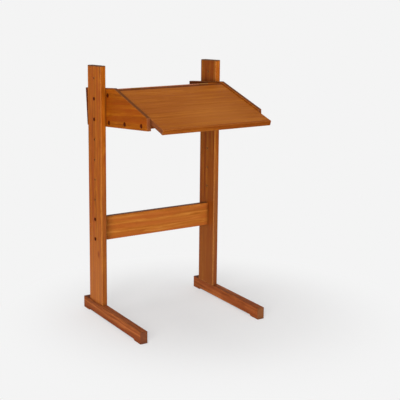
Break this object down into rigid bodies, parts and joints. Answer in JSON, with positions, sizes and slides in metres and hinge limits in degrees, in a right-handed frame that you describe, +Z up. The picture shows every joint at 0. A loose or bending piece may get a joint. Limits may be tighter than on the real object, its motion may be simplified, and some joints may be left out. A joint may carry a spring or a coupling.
{
  "type": "standing desk",
  "caption": "Wooden clerk's standing desk: sled feet, two posts with rows of height holes, a crossbar and a bolted-on writing box with a hinged sloping lid.",
  "frame": {"origin": "on the floor, in the middle of the desk's overall width and depth", "axes": "+X to the right of a person standing at the desk, -Y to that person's side (the front), +Z up"},
  "size_m": [0.7, 0.7309, 1.2499],
  "materials": {
    "teak": "oiled solid teak",
    "teak_veneer": "oiled teak veneer",
    "teak_lipping": "oiled solid teak",
    "dark_bronze": "dark bronzed steel",
    "zinc_steel": "zinc plated steel",
    "brass": "drawn brass, dulled"
  },
  "bodies": {
    "stand": {"back_board": "teak", "bottom_board": "teak", "cheek_bushes_left": "zinc_steel", "cheek_bushes_right": "zinc_steel", "cheek_screws_left": "dark_bronze", "cheek_screws_right": "dark_bronze", "crossbar": "teak", "crossbar_barrel_nuts_left": "zinc_steel", "crossbar_barrel_nuts_right": "zinc_steel", "crossbar_bolts_left": "dark_bronze", "crossbar_bolts_right": "dark_bronze", "height_bolts_left": "dark_bronze", "height_bolts_right": "dark_bronze", "hinge_ledge_leaf_left": "brass", "hinge_ledge_leaf_right": "brass", "hinge_pins": "brass", "left_cheek": "teak", "left_foot": "teak", "left_post": "teak", "rear_ledge": "teak", "right_cheek": "teak", "right_foot": "teak", "right_post": "teak"},
    "lid": {"hinge_lid_leaf_left": "brass", "hinge_lid_leaf_right": "brass", "lid_back_lipping": "teak_lipping", "lid_front_lipping": "teak_lipping", "lid_lipping_left": "teak_lipping", "lid_lipping_right": "teak_lipping", "lid_panel": "teak_veneer"}
  },
  "joints": [
    {"name": "lid_hinge", "type": "hinge", "parent": "stand", "child": "lid", "pos_m": [0, 0.06629, 1.1441], "axis": [-1, 0, 0], "range_deg": [0, 155]}
  ]
}
